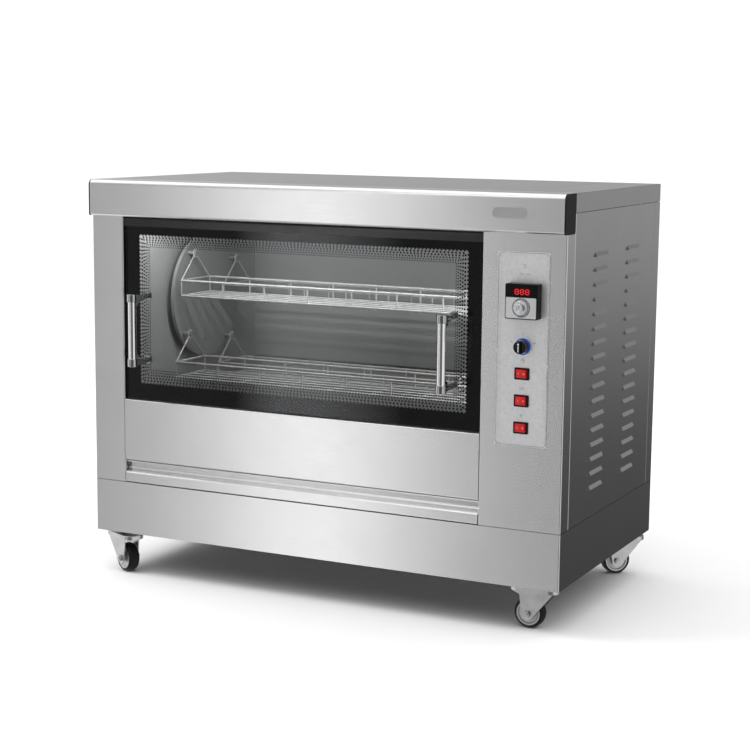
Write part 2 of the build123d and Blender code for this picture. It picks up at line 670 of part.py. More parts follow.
def basket():
    """Wire basket about its pin axis at y = 0, z = 0."""
    x0, x1 = BASKET_X0, 2 * CAVITY_MID_X - BASKET_X0
    w, rail, floor = BASKET_HALF_W, BASKET_RAIL_DZ, BASKET_FLOOR_DZ
    bay = (x1 - x0) / BASKET_BAYS
    wires = []
    for y in (-w, w):
        wires.append(rod((x0, y, rail), (x1, y, rail), RAIL_R))
        wires.append(rod((x0, y, floor), (x1, y, floor), WIRE_R))
        for i in range(BASKET_BAYS + 1):
            x = x0 + i * bay
            wires.append(rod((x, y, floor), (x, y, rail), UPRIGHT_R))
    for y in (-w / 2, 0, w / 2):
        wires.append(rod((x0, y, floor), (x1, y, floor), WIRE_R))
    for i in range(BASKET_BAYS):
        x = x0 + (i + 0.5) * bay
        wires.append(rod((x, -w, floor - 3), (x, w, floor - 3), WIRE_R - 0.1))
    for x in (x0, x1):
        wires.append(rod((x, -w, rail), (x, w, rail), RAIL_R))
        wires.append(rod((x, -w, floor), (x, w, floor), WIRE_R + 0.1))
        for side in (-1, 1):
            wires.append(ball((x, side * w, rail), RAIL_R))
            wires.append(ball((x, side * w, floor), WIRE_R + 0.1))
            reach = 7.4 / sqrt(w * w + rail * rail)
            wires.append(rod((x, side * w, rail), (x, side * w * reach, rail * reach), UPRIGHT_R))
        wires.append(rod((x - 1, 0, 0), (x + 1, 0, 0), 10))
    frame = wires[0].fuse(*wires[1:])
    for x in (x0, x1):
        frame -= rod((x - 2, 0, 0), (x + 2, 0, 0), PIN_R + 0.06)
    return frame


# ---- controls ----
def thermostat_body():
    """Panel thermostat: thick front case with a display recess, slimmer body behind."""
    width, height = THERMO_X1 - THERMO_X0, THERMO_Z1 - THERMO_Z0
    centre = ((THERMO_X0 + THERMO_X1) / 2, (THERMO_Z0 + THERMO_Z1) / 2)
    case = rounded_plate(Plane.XZ, centre, width, height, 3, FASCIA_T, THERMO_OUT)
    case = fillet(case.faces().sort_by(Axis.Y)[0].edges(), 1.5)
    case += rounded_plate(Plane.XZ, centre, width - 8, height - 8, 2, -60, FASCIA_T + 1)
    case -= rounded_plate(Plane.XZ, (1018, 687.5), 40, 12.5, 1, THERMO_OUT - 0.8, THERMO_OUT + 1)
    return case - rod((KNOB_X, -THERMO_OUT - 1, KNOB_Z), (KNOB_X, -THERMO_OUT + 12, KNOB_Z), 3.06)


def thermostat_knob():
    """Dial knob with a skirt, a raised hub and a pointer rib."""
    face = -THERMO_OUT - 0.4
    skirt = rod((KNOB_X, face, KNOB_Z), (KNOB_X, face - 5, KNOB_Z), 14)
    skirt = fillet(skirt.edges().sort_by(Axis.Y)[0], 1.2)
    hub = rod((KNOB_X, face - 4, KNOB_Z), (KNOB_X, face - 12, KNOB_Z), 7.6)
    hub = fillet(hub.edges().sort_by(Axis.Y)[0], 0.8)
    rib = block(KNOB_X - 0.8, KNOB_X + 0.8, face - 6, face - 4, KNOB_Z + 7, KNOB_Z + 13)
    return skirt + hub + rib + rod((KNOB_X, face - 1, KNOB_Z), (KNOB_X, face + 11, KNOB_Z), 3)


def selector_bezel():
    """Round collar of the selector switch with the switch body behind it."""
    x, z = SELECTOR_X, SELECTOR_Z
    collar = rod((x, -4, z), (x, -FASCIA_T, z), 16.2)
    collar = fillet(collar.edges().sort_by(Axis.Y)[0], 1)
    collar += rod((x, -7, z), (x, -FASCIA_T, z), 13.8)
    collar += rod((x, -2, z), (x, 42, z), 10.6)
    collar += block(x - 14, x + 14, 14, 42, z - 14, z + 14)
    return collar - rod((x, -8, z), (x, 10, z), 4.06)


def selector_knob():
    """Turning knob: a deep round base with a low bar grip."""
    x, z = SELECTOR_X, SELECTOR_Z
    knob = rod((x, -20, z), (x, -7.4, z), 13.0)
    knob = fillet(knob.edges().sort_by(Axis.Y)[0], 1.5)
    grip = block(x - 3.4, x + 3.4, -26, -19, z - 11, z + 11)
    grip = fillet(grip.edges().group_by(Axis.Y)[0], 1.2)
    return knob + grip + rod((x, -8, z), (x, 9, z), 4)


ROCKER_Y = 1.5


def switch_bezel(z):
    """Snap-in frame of one rocker switch."""
    bezel = rounded_plate(Plane.XZ, (SWITCH_X, z), SWITCH_W, SWITCH_H, 2, FASCIA_T, 3.2)
    bezel = fillet(bezel.faces().sort_by(Axis.Y)[0].edges(), 0.8)
    bezel += block(SWITCH_X - 13.5, SWITCH_X + 13.5, -2, 22, z - 10, z + 10)
    bezel -= block(SWITCH_X - 12.5, SWITCH_X + 12.5, -4, 9, z - 8.8, z + 8.8)
    return bezel - rod((SWITCH_X, ROCKER_Y, z - 9.9), (SWITCH_X, ROCKER_Y, z + 9.9), 1.26)


def rocker(z):
    """Rocker of one switch, resting tilted to its off side."""
    top, ends, back = -5.6, -6.6, 5
    profile = [(-11, ends), (0, top), (11, ends), (11, 0.5), (4, back), (-4, back), (-11, 0.5)]
    body = prism(Plane.XY, profile, z - 8.3, z + 8.3)
    body += rod((0, 0, z - 9.6), (0, 0, z + 9.6), 1.2)
    return Pos(SWITCH_X, ROCKER_Y, 0) * Rot(0, 0, -ROCKER_TILT) * body


def terminal_block():
    """Connection block on the floor of the right-hand compartment."""
    base = block(975, 1045, 500, 528, SKIRT_Z1, SKIRT_Z1 + 8)
    for i in range(5):
        x = 979 + i * 13
        base += block(x, x + 10, 503, 525, SKIRT_Z1 + 7, SKIRT_Z1 + 24)
    return base


# ---- casters ----
def caster_plate(x, y):
    """Fixed half of a caster: plate, raceway, kingpin and four bolts."""
    plate = rounded_plate(Plane.XY, (x, y), PLATE_L, PLATE_W, 5, 98, 101)
    plate += Pos(x, y, 92.7) * Cone(22, 18, 10.8)
    plate += rod((x, y, 81), (x, y, 99), 5)
    plate += rod((x, y, 80), (x, y, 83.5), 8)
    for bx, by in caster_bolt_points(x, y):
        plate += rod((bx, by, 97), (bx, by, 103), 3)
        plate += pull(Plane.XY, Pos(bx, by) * RegularPolygon(5.6, 6), 94, 98)
        plate += pull(Plane.XY, Pos(bx, by) * RegularPolygon(5.6, 6), 103, 107)
    return plate


def caster_fork():
    """Stamped fork about its swivel axis, trailing towards -x, with its axle bolt."""
    crown_z0, crown_z1 = 84, 87
    middle, length, width = (-11, 0), 104, 48
    crown = rounded_plate(Plane.XY, middle, length, width, 20, crown_z0 - 6, crown_z1)
    crown = fillet(crown.faces().sort_by(Axis.Z)[-1].edges(), 1.5)
    crown -= rounded_plate(Plane.XY, middle, length - 5, width - 5, 17.5, crown_z0 - 7, crown_z0)
    # seen from the side, behind the swivel first: down the short edge, round the axle, up the slope
    outline = [(-55, 85), (-55, 77), (-40, 71), (-37, 40), (-33, 22), (-TRAIL + 1, 18),
               (-13, 24), (31, 77), (31, 85)]
    leg = make_face(Polyline(*outline, close=True))
    leg = fillet([v for v in leg.vertices() if v.Y < 76], 5)
    fork = crown
    for side in (-1, 1):
        inner = HUB_W / 2 + 0.4
        y0, y1 = sorted((side * inner, side * (inner + 2.5)))
        fork += pull(Plane.XZ, leg, -y1, -y0)
    fork -= rod((0, 0, 76), (0, 0, 90), 5.06)
    fork -= rod((0, 0, 76), (0, 0, 83.8), 8.4)
    axle_end = HUB_W / 2 + 10.5
    fork += rod((-TRAIL, -axle_end, WHEEL_R), (-TRAIL, axle_end, WHEEL_R), 4)
    hexagon = Pos(-TRAIL, WHEEL_R) * RegularPolygon(7.2, 6)
    face = HUB_W / 2 + 2
    fork += pull(Plane.XZ, hexagon, face, face + 7)
    return fork + pull(Plane.XZ, hexagon, -face - 7, -face)


def caster_wheel():
    """Tyre moulded on its hub, about the same swivel axis as its fork."""
    hub, half = HUB_W / 2, WHEEL_W / 2
    right = [(4.06, hub), (8.5, hub), (8.5, 10.5), (20, 9.5), (22, 12.2), (25, 12.2), (25.2, half),
             (28.5, half), (WHEEL_R, 7)]
    outline = right + [(r, -y) for r, y in reversed(right)]
    face = make_face(Polyline(*outline, close=True))
    face = fillet([v for v in face.vertices() if v.X > 27], 3)
    wheel = revolve(face, Axis.Y)
    return Pos(-TRAIL, 0, WHEEL_R) * wheel


# ---- build ----
def build_cabinet():
    save("base_skirt", base_skirt())
    save("base_floor", base_floor())
    save("left_stile", left_stile())
    save("control_column", control_column())
    save("fascia_plate", fascia_plate())
    save("lower_front_panel", lower_front_panel())
    save("front_hood", front_hood())
    save("hood_end_caps", *hood_end_caps())
    side = right_side_panel()
    save("right_side_panel", side)
    save("left_side_panel", mirrored(side, BODY_W / 2))
    save("rear_posts", *rear_posts())
    save("roof_panel", roof_panel())
    save("back_panel", back_panel())
    save("panel_screws", *panel_screws())
    save("cable_gland", cable_gland())


def build_cavity():
    save("door_frame", door_frame())
    save("door_seal", door_seal())
    save("liner_left", liner_side([SHAFT_HOLE]))
    save("liner_right", mirrored(liner_side(right_liner_holes()), CAVITY_MID_X))
    save("liner_wrap", liner_wrap())
    save("insulation", *insulation())
    save("heating_elements", *[hairpin_heater(*place) for place in HEATERS])
    save("lamp_holder", lamp_holder())
    save("lamp_cover", lamp_cover())
    save("temperature_probe", temperature_probe())
    save("drip_tray", drip_tray())
    save("tray_runners", *tray_runners())


def build_door():
    save("door_glass", door_glass())
    save("door_hinge_rail", door_hinge_rail())
    save("hinge_brackets", *hinge_brackets())
    save("handle_bars", *handle_bars())
    save("handle_brackets", *handle_brackets())


def build_rotor():
    save("idler_disc", idler_disc())
    save("drive_disc", mirrored(left_disc(), CAVITY_MID_X))
    save("drive_shaft", drive_shaft())
    save("shaft_bearings", *shaft_bearings())
    save("gear_motor", gear_motor())
    save("motor_bracket", motor_bracket())
    hanging = basket()
    places = ("upper_rear", "upper_front", "lower_front", "lower_rear")
    for place, (y, z) in zip(places, pin_points()):
        save(f"basket_{place}", Pos(0, y, z) * hanging)


def build_controls():
    save("thermostat_body", thermostat_body())
    save("thermostat_knob", thermostat_knob())
    save("selector_bezel", selector_bezel())
    save("selector_knob", selector_knob())
    save("switch_bezels", *[switch_bezel(z) for z in SWITCH_ZS])
    for name, z in zip(("top", "middle", "bottom"), SWITCH_ZS):
        save(f"rocker_{name}", rocker(z))
    save("terminal_block", terminal_block())


def build_casters():
    save("caster_plates", *[caster_plate(x, y) for x, y, _ in CASTERS.values()])
    fork = caster_fork()
    wheel = caster_wheel()
    for name, (x, y, heading) in CASTERS.items():
        place = Pos(x, y, 0) * Rot(0, 0, heading)
        save(f"{name}_fork", place * fork)
        save(f"{name}_wheel", place * wheel)


os.makedirs("parts", exist_ok=True)
build_cabinet()
build_cavity()
build_door()
build_rotor()
build_controls()
build_casters()
print("front face of the body at y =", FRONT_Y)
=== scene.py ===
import json
from math import cos, sin, pi, radians

import bmesh
import bpy
from mathutils import Matrix, Vector


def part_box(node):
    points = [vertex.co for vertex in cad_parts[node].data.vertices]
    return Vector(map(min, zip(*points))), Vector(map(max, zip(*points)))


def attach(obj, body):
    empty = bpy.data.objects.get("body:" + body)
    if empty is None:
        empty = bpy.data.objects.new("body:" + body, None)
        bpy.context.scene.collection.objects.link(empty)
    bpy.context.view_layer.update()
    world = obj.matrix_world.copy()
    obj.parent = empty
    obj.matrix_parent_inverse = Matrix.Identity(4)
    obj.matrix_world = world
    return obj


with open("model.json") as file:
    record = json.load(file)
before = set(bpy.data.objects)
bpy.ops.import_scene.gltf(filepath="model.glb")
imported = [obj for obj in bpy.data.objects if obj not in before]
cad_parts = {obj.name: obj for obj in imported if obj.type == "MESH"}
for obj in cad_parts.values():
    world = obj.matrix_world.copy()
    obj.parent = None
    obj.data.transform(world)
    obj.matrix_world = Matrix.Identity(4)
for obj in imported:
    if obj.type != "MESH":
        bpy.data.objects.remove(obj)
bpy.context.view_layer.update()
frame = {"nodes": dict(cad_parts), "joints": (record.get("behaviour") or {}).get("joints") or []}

MM = 0.001
NODES = frame["nodes"]
JOINTS = {joint["name"]: joint for joint in frame["joints"]}
COLLECTION = bpy.context.scene.collection
TEXTURE_MIDDLE = (0.3, 0.7)  # the part of a texture's range that a variation is spread over

# ---------------------------------------------------------------- materials


class Shader:
    """One procedural material built round a Principled shader, in object coordinates."""

    def __init__(self, name, color, metallic=0.0, roughness=0.5, **inputs):
        self.material = bpy.data.materials.new(name)
        self.material.use_nodes = True
        self.tree = self.material.node_tree
        self.nodes = self.tree.nodes
        self.principled = self.nodes["Principled BSDF"]
        self.color = color
        self.set("Base Color", (*color, 1.0))
        self.set("Metallic", metallic)
        self.set("Roughness", roughness)
        for key, value in inputs.items():
            self.set(key.replace("_", " "), value)
        self.coordinates = self.nodes.new("ShaderNodeTexCoord").outputs["Object"]

    def set(self, socket, value):
        self.principled.inputs[socket].default_value = value

    def link(self, source, target):
        self.tree.links.new(source, target)

    def texture(self, kind, scale, stretch=(1, 1, 1)):
        """Texture node of one kind, in object coordinates stretched along each axis."""
        mapping = self.nodes.new("ShaderNodeMapping")
        mapping.inputs["Scale"].default_value = stretch
        self.link(self.coordinates, mapping.inputs["Vector"])
        node = self.nodes.new(kind)
        node.inputs["Scale"].default_value = scale
        self.link(mapping.outputs["Vector"], node.inputs["Vector"])
        return node

    def noise(self, scale, stretch=(1, 1, 1), detail=3.0, rough=0.55):
        node = self.texture("ShaderNodeTexNoise", scale, stretch)
        node.inputs["Detail"].default_value = detail
        node.inputs["Roughness"].default_value = rough
        return node.outputs["Fac"]

    def cells(self, scale):
        return self.texture("ShaderNodeTexVoronoi", scale).outputs["Distance"]

    def ramp(self, factor, low, high, to_low=0.0, to_high=1.0):
        """Map a factor from one range to another."""
        node = self.nodes.new("ShaderNodeMapRange")
        for name, value in (("From Min", low), ("From Max", high), ("To Min", to_low), ("To Max", to_high)):
            node.inputs[name].default_value = value
        self.link(factor, node.inputs["Value"])
        return node.outputs["Result"]

    def blend_color(self, factor, first, second):
        node = self.nodes.new("ShaderNodeMix")
        node.data_type = "RGBA"
        node.inputs["A"].default_value = (*first, 1.0)
        node.inputs["B"].default_value = (*second, 1.0)
        self.link(factor, node.inputs["Factor"])
        self.link(node.outputs["Result"], self.principled.inputs["Base Color"])

    def vary_color(self, factor, amount):
        dark = tuple(c * (1 - amount) for c in self.color)
        light = tuple(min(1.0, c * (1 + amount)) for c in self.color)
        self.blend_color(self.ramp(factor, *TEXTURE_MIDDLE), dark, light)

    def vary_roughness(self, factor, low, high):
        self.link(self.ramp(factor, *TEXTURE_MIDDLE, low, high), self.principled.inputs["Roughness"])

    def bump(self, height, distance, strength=1.0):
        node = self.nodes.new("ShaderNodeBump")
        node.inputs["Strength"].default_value = strength
        node.inputs["Distance"].default_value = distance
        self.link(height, node.inputs["Height"])
        self.link(node.outputs["Normal"], self.principled.inputs["Normal"])


# stretch of the noise that draws lines along each axis
GRAIN = {"x": (0.02, 1, 1), "y": (1, 0.02, 1), "z": (1, 1, 0.02)}


def steel(name, color, grain, roughness, depth=0.00004, metallic=1.0):
    """Brushed sheet: fine lines along one axis, and faint cloudy handling marks."""
    s = Shader(name, color, metallic, roughness)
    lines = s.noise(1400, GRAIN[grain], 2.0)
    clouds = s.noise(9.0, detail=4.0)
    s.vary_color(clouds, 0.02)
    s.vary_roughness(lines, roughness - 0.015, roughness + 0.015)
    s.bump(lines, depth, 0.01)
    return s.material


def plain_metal(name, color, roughness, spots=60.0, amount=0.05, depth=0.00002):
    """Turned, plated or cast metal with slight mottling."""
    s = Shader(name, color, 1.0, roughness)
    mottle = s.noise(spots, detail=5.0)
    s.vary_color(mottle, amount)
    s.vary_roughness(mottle, max(0.02, roughness - 0.05), roughness + 0.07)
    s.bump(s.noise(900.0), depth, 0.2)
    return s.material


def moulded(name, color, roughness, grain=1500.0, depth=0.00003, amount=0.12, shine=0.5):
    """Moulded plastic with a fine spark-eroded texture."""
    s = Shader(name, color, 0.0, roughness, Specular_IOR_Level=shine)
    s.vary_color(s.noise(40.0, detail=4.0), amount)
    s.vary_roughness(s.noise(200.0), roughness - 0.05, roughness + 0.05)
    s.bump(s.noise(grain), depth, 0.4)
    return s.material


def printed(name, color):
    """Screen-printed ink, slightly uneven."""
    s = Shader(name, color, 0.0, 0.4)
    s.vary_color(s.noise(300.0), 0.15)
    s.bump(s.noise(1200.0), 0.00001, 0.2)
    return s.material


def frit():
    """Matt black enamel fired on the back of the glass."""
    s = Shader("frit_black", (0.001, 0.001, 0.001), 0.0, 0.7, Specular_IOR_Level=0.02)
    s.vary_color(s.noise(220.0), 0.4)
    s.vary_roughness(s.noise(90.0), 0.6, 0.8)
    return s.material


def glowing(name, color, strength):
    """Lit segment of a display."""
    s = Shader(name, tuple(c * 0.5 for c in color), 0.0, 0.3)
    s.set("Emission Color", (*color, 1.0))
    s.set("Emission Strength", strength)
    s.vary_color(s.noise(900.0), 0.2)
    return s.material


def clear_glass(name, tint, reflect_color=(1, 1, 1)):
    """Thin glass: straight see-through tint with a Fresnel reflection on top."""
    material = bpy.data.materials.new(name)
    material.use_nodes = True
    tree = material.node_tree
    nodes, links = tree.nodes, tree.links
    nodes.clear()
    output = nodes.new("ShaderNodeOutputMaterial")
    mix = nodes.new("ShaderNodeMixShader")
    see = nodes.new("ShaderNodeBsdfTransparent")
    shine = nodes.new("ShaderNodeBsdfGlossy")
    fresnel = nodes.new("ShaderNodeFresnel")
    smear = nodes.new("ShaderNodeTexNoise")
    place = nodes.new("ShaderNodeTexCoord")
    spread = nodes.new("ShaderNodeMapRange")
    see.inputs["Color"].default_value = (*tint, 1.0)
    shine.inputs["Color"].default_value = (*reflect_color, 1.0)
    fresnel.inputs["IOR"].default_value = 1.5
    smear.inputs["Scale"].default_value = 14.0
    smear.inputs["Detail"].default_value = 4.0
    spread.inputs["To Min"].default_value = 0.004
    spread.inputs["To Max"].default_value = 0.03
    links.new(place.outputs["Object"], smear.inputs["Vector"])
    links.new(smear.outputs["Fac"], spread.inputs["Value"])
    links.new(spread.outputs["Result"], shine.inputs["Roughness"])
    links.new(fresnel.outputs["Fac"], mix.inputs["Fac"])
    links.new(see.outputs["BSDF"], mix.inputs[1])
    links.new(shine.outputs["BSDF"], mix.inputs[2])
    links.new(mix.outputs["Shader"], output.inputs["Surface"])
    return material


def stippled_steel():
    """Fascia sheet with a fine pebbled surface."""
    s = Shader("fascia_sheet", (0.8, 0.8, 0.81), 0.8, 0.42)
    grains = s.cells(700.0)
    s.vary_color(s.noise(160.0, detail=5.0), 0.06)
    s.vary_roughness(grains, 0.36, 0.5)
    s.bump(grains, 0.00006, 0.12)
    return s.material


def rubber():
    """Worn black tyre."""
    s = Shader("tyre_rubber", (0.008, 0.008, 0.0085), 0.0, 0.55, Specular_IOR_Level=0.2)
    s.vary_color(s.noise(120.0, detail=5.0), 0.35)
    s.vary_roughness(s.noise(60.0), 0.42, 0.68)
    s.bump(s.noise(500.0, detail=4.0), 0.0002, 0.5)
    return s.material


def wool():
    """Mineral wool, its fibres lying flat."""
    s = Shader("mineral_wool", (0.62, 0.55, 0.32), 0.0, 0.95)
    fibres = s.noise(180.0, (1, 1, 4), 6.0, 0.7)
    s.vary_color(fibres, 0.3)
    s.bump(fibres, 0.002, 0.8)
    return s.material


def heat_sheath():
    """Heater tube, discoloured by heat."""
    s = Shader("heater_sheath", (0.13, 0.12, 0.11), 0.9, 0.5)
    scale = s.noise(45.0, detail=6.0)
    s.blend_color(s.ramp(scale, 0.35, 0.65), (0.09, 0.085, 0.085), (0.22, 0.17, 0.13))
    s.vary_roughness(scale, 0.4, 0.65)
    s.bump(s.noise(700.0), 0.0001, 0.4)
    return s.material


def wire():
    """Basket wire with dull patches."""
    s = Shader("basket_wire", (0.58, 0.58, 0.57), 0.6, 0.38)
    marks = s.noise(70.0, detail=5.0)
    s.blend_color(s.ramp(marks, 0.35, 0.7), (0.64, 0.64, 0.63), (0.48, 0.475, 0.46))
    s.vary_roughness(marks, 0.34, 0.5)
    s.bump(s.noise(400.0), 0.00006, 0.3)
    return s.material


M = {
    "steel_x": steel("steel_brushed_x", (0.75, 0.75, 0.755), "x", 0.2),
    "steel_z": steel("steel_brushed_z", (0.75, 0.75, 0.755), "z", 0.2),
    # side and roof: darker copies of the front's brushed steel; their lower tone is painted shade for the
    # dimmer light on these faces
    "side": steel("steel_side_painted_shade", (0.62, 0.62, 0.63), "z", 0.24),
    "roof": steel("steel_roof_painted_shade", (0.58, 0.58, 0.585), "x", 0.24),
    "back": steel("steel_back", (0.6, 0.6, 0.61), "x", 0.36),
    "liner": steel("steel_liner", (0.42, 0.42, 0.42), "x", 0.5, metallic=0.6),
    "rotor": steel("steel_rotor", (0.36, 0.36, 0.36), "z", 0.45, metallic=0.6),
    "fascia": stippled_steel(),
    "bright": plain_metal("steel_bright", (0.72, 0.72, 0.73), 0.22),
    "zinc": plain_metal("zinc_plate", (0.58, 0.59, 0.6), 0.34, 28.0, 0.14, 0.00005),
    "caster_zinc": plain_metal("caster_zinc", (0.6, 0.6, 0.6), 0.32, 34.0, 0.16, 0.00006),
    # floor pan: near-black colour is painted shade for the dark underside; it also bounces less light, so
    # the floor under the oven is darker
    "pan": plain_metal("floor_pan_painted_shade", (0.14, 0.14, 0.145), 0.5, 20.0, 0.12),
    "hub": plain_metal("hub_grey", (0.55, 0.55, 0.56), 0.4, 50.0, 0.08),
    # handle brackets: base colour darkened below real chrome, a painted dark reflection of the black glass
    # border
    "chrome": plain_metal("chrome_cast_painted_dark_reflection", (0.45, 0.45, 0.46), 0.09, 25.0, 0.03, 0.00003),
    "tube": plain_metal("chrome_tube", (0.84, 0.84, 0.85), 0.06, 18.0, 0.02, 0.000004),
    "iron": plain_metal("cast_iron", (0.2, 0.2, 0.2), 0.55, 90.0, 0.25, 0.0003),
    "motor": moulded("motor_paint", (0.05, 0.055, 0.07), 0.4, 600.0, 0.00008),
    "rail": moulded("rail_black", (0.012, 0.012, 0.012), 0.16, 900.0, 0.00001),
    "cap": moulded("cap_black", (0.006, 0.006, 0.0065), 0.38, shine=0.12),
    "gloss": moulded("black_gloss", (0.004, 0.004, 0.004), 0.16, 900.0, 0.00001, shine=0.3),
    "satin": moulded("black_satin", (0.004, 0.004, 0.0045), 0.3, shine=0.1),
    "dial_grey": printed("dial_grey", (0.16, 0.165, 0.175)),
    "red": moulded("rocker_red", (0.52, 0.008, 0.008), 0.22, 900.0, 0.00001, 0.2, 0.3),
    "blue": moulded("ring_blue", (0.008, 0.07, 0.42), 0.22, 900.0, 0.00001, 0.2, 0.3),
    "seal": moulded("seal_silicone", (0.03, 0.03, 0.03), 0.6, 300.0, 0.0001),
    "ceramic": moulded("ceramic", (0.78, 0.76, 0.7), 0.3, 300.0, 0.00005, 0.05),
    "rubber": rubber(),
    "wool": wool(),
    "heater": heat_sheath(),
    "wire": wire(),
    "glass": clear_glass("door_glass_clear", (0.92, 0.93, 0.93), (0.36, 0.36, 0.37)),
    "lamp": clear_glass("lamp_glass_clear", (0.95, 0.95, 0.94)),
    "frit": frit(),
    "dial_plate": steel("dial_plate", (0.78, 0.78, 0.79), "x", 0.3, 0.00001),
    "ink": printed("ink_grey", (0.09, 0.09, 0.1)),
    "ink_white": printed("ink_white", (0.85, 0.85, 0.85)),
    "ink_pink": printed("ink_pink", (0.75, 0.3, 0.3)),
    "spun": plain_metal("knob_spun", (0.86, 0.87, 0.88), 0.2, 80.0, 0.08),
    "glow": glowing("display_red", (1.0, 0.02, 0.02), 0.5),
    "window": moulded("display_window", (0.022, 0.001, 0.001), 0.12, 900.0, 0.00001, shine=0.2),
}

NODE_LOOK = {
    "base_skirt": "steel_x", "base_floor": "pan", "left_stile": "steel_z", "control_column": "steel_z",
    "fascia_plate": "fascia", "lower_front_panel": "steel_x", "front_hood": "steel_x",
    "hood_end_caps": "cap", "left_side_panel": "side", "right_side_panel": "side", "rear_posts": "side",
    "roof_panel": "roof", "back_panel": "back", "panel_screws": "bright", "cable_gland": "satin",
    "door_frame": "liner", "door_seal": "seal", "liner_left": "liner", "liner_right": "liner",
    "liner_wrap": "liner", "insulation": "wool", "heating_elements": "heater", "lamp_holder": "ceramic",
    "lamp_cover": "lamp", "temperature_probe": "bright", "drip_tray": "steel_x", "tray_runners": "zinc",
    "door_glass": "glass", "door_hinge_rail": "rail", "hinge_brackets": "bright", "handle_bars": "tube",
    "handle_brackets": "chrome", "idler_disc": "rotor", "drive_disc": "rotor", "drive_shaft": "bright",
    "shaft_bearings": "iron", "gear_motor": "motor", "motor_bracket": "zinc",
    "thermostat_body": "satin", "selector_bezel": "bright", "switch_bezels": "gloss",
    "terminal_block": "ceramic", "thermostat_knob": "spun", "selector_knob": "gloss",
    "caster_plates": "zinc",
}
for place in ("upper_rear", "upper_front", "lower_front", "lower_rear"):
    NODE_LOOK[f"basket_{place}"] = "wire"
ROCKERS = ("top", "middle", "bottom")
for place in ROCKERS:
    NODE_LOOK[f"rocker_{place}"] = "red"
for corner in ("front_left", "front_right", "rear_left", "rear_right"):
    NODE_LOOK[f"{corner}_fork"] = "caster_zinc"
    NODE_LOOK[f"{corner}_wheel"] = "rubber"


def dress(node, look, *others):
    """Give a CAD node its material; others are (look, test of a face's centre)."""
    mesh = NODES[node].data
    mesh.materials.clear()
    mesh.materials.append(M[look])
    for extra, _ in others:
        mesh.materials.append(M[extra])
    for polygon in mesh.polygons:
        polygon.material_index = 0
        for index, (_, test) in enumerate(others, 1):
            if test(polygon.center):
                polygon.material_index = index


HUB_R = 25.15 * MM  # faces nearer the axle than this are the hub's
BLUE_RING_R = 14.2 * MM  # the selector bezel is blue further out than this
BLUE_RING_DEPTH = 0.6 * MM  # and no deeper than this behind the fascia's front


def wheel_hub_test(corner):
    """True for a face inside the tyre's inner radius, measured from the wheel's own axle."""
    joint = JOINTS[f"{corner}_roll"]
    centre, axle = Vector(joint["pos_m"]), Vector(joint["axis"])

    def inside(point):
        return (point - centre).cross(axle).length < HUB_R

    return inside


def selector_ring_test(point):
    """True for a face on the outer ring of the selector's bezel."""
    centre = Vector(JOINTS["selector_turn"]["pos_m"])
    across = Vector((point.x - centre.x, point.z - centre.z)).length
    return across > BLUE_RING_R and point.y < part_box("fascia_plate")[0].y + BLUE_RING_DEPTH


for name, look in NODE_LOOK.items():
    if name.endswith("_wheel"):
        dress(name, look, ("hub", wheel_hub_test(name.removesuffix("_wheel"))))
    elif name == "selector_bezel":
        dress(name, look, ("blue", selector_ring_test))
    else:
        dress(name, look)

# ---------------------------------------------------------------- building pieces


def piece(name, bm, look, body, smooth=False):
    """Turn a bmesh into a finished piece that rides on a body."""
    bmesh.ops.recalc_face_normals(bm, faces=bm.faces)
    mesh = bpy.data.meshes.new(name)
    bm.to_mesh(mesh)
    bm.free()
    for polygon in mesh.polygons:
        polygon.use_smooth = smooth
    mesh.materials.append(M[look])
    made = bpy.data.objects.new(name, mesh)
    COLLECTION.objects.link(made)
    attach(made, body)
    return made


def edge(bm, front, back):
    """Faces round the edge between a front loop and a back loop."""
    for i in range(len(front)):
        j = (i + 1) % len(front)
        bm.faces.new((front[i], back[i], back[j], front[j]))


def bridge(bm, first, second):
    """Faces from one loop to the next, across a ring."""
    for i in range(len(first)):
        j = (i + 1) % len(first)
        bm.faces.new((first[i], first[j], second[j], second[i]))


def slab(bm, points, y0, y1):
    """Closed plate from an outline in x and z, between two depths."""
    front = [bm.verts.new((x, y0, z)) for x, z in points]
    back = [bm.verts.new((x, y1, z)) for x, z in points]
    bm.faces.new(front)
    bm.faces.new(back[::-1])
    edge(bm, front, back)


def frame_slab(bm, outer, inner, y0, y1):
    """Closed ring between two outlines with equally many points."""
    loops = []
    for points, y in ((outer, y0), (inner, y0), (inner, y1), (outer, y1)):
        loops.append([bm.verts.new((x, y, z)) for x, z in points])
    for first, second in zip(loops, loops[1:] + loops[:1]):
        bridge(bm, first, second)


def rounded(x0, x1, z0, z1, radius, steps=6):
    """Outline of a rounded rectangle."""
    points = []
    corners = ((x1 - radius, z1 - radius, 0), (x0 + radius, z1 - radius, 90),
               (x0 + radius, z0 + radius, 180), (x1 - radius, z0 + radius, 270))
    for cx, cz, start in corners:
        for i in range(steps + 1):
            angle = radians(start + 90 * i / steps)
            points.append((cx + radius * cos(angle), cz + radius * sin(angle)))
    return points


def inset_outline(lo, hi, inset, radius):
    """Rounded outline inside a box's face, in x and z."""
    return rounded(lo.x + inset, hi.x - inset, lo.z + inset, hi.z - inset, radius)


def disc(cx, cz, radius, sides):
    """Outline of a circle."""
    angles = [2 * pi * i / sides for i in range(sides)]
    return [(cx + radius * cos(angle), cz + radius * sin(angle)) for angle in angles]


def bar(x0, z0, x1, z1, width):
    """Outline of a straight stroke."""
    run = Vector((x1 - x0, z1 - z0)).normalized() * width / 2
    side = Vector((-run.y, run.x))
    return [(x0 - side.x, z0 - side.y), (x1 - side.x, z1 - side.y),
            (x1 + side.x, z1 + side.y), (x0 + side.x, z0 + side.y)]


# ---------------------------------------------------------------- printed border of the door glass

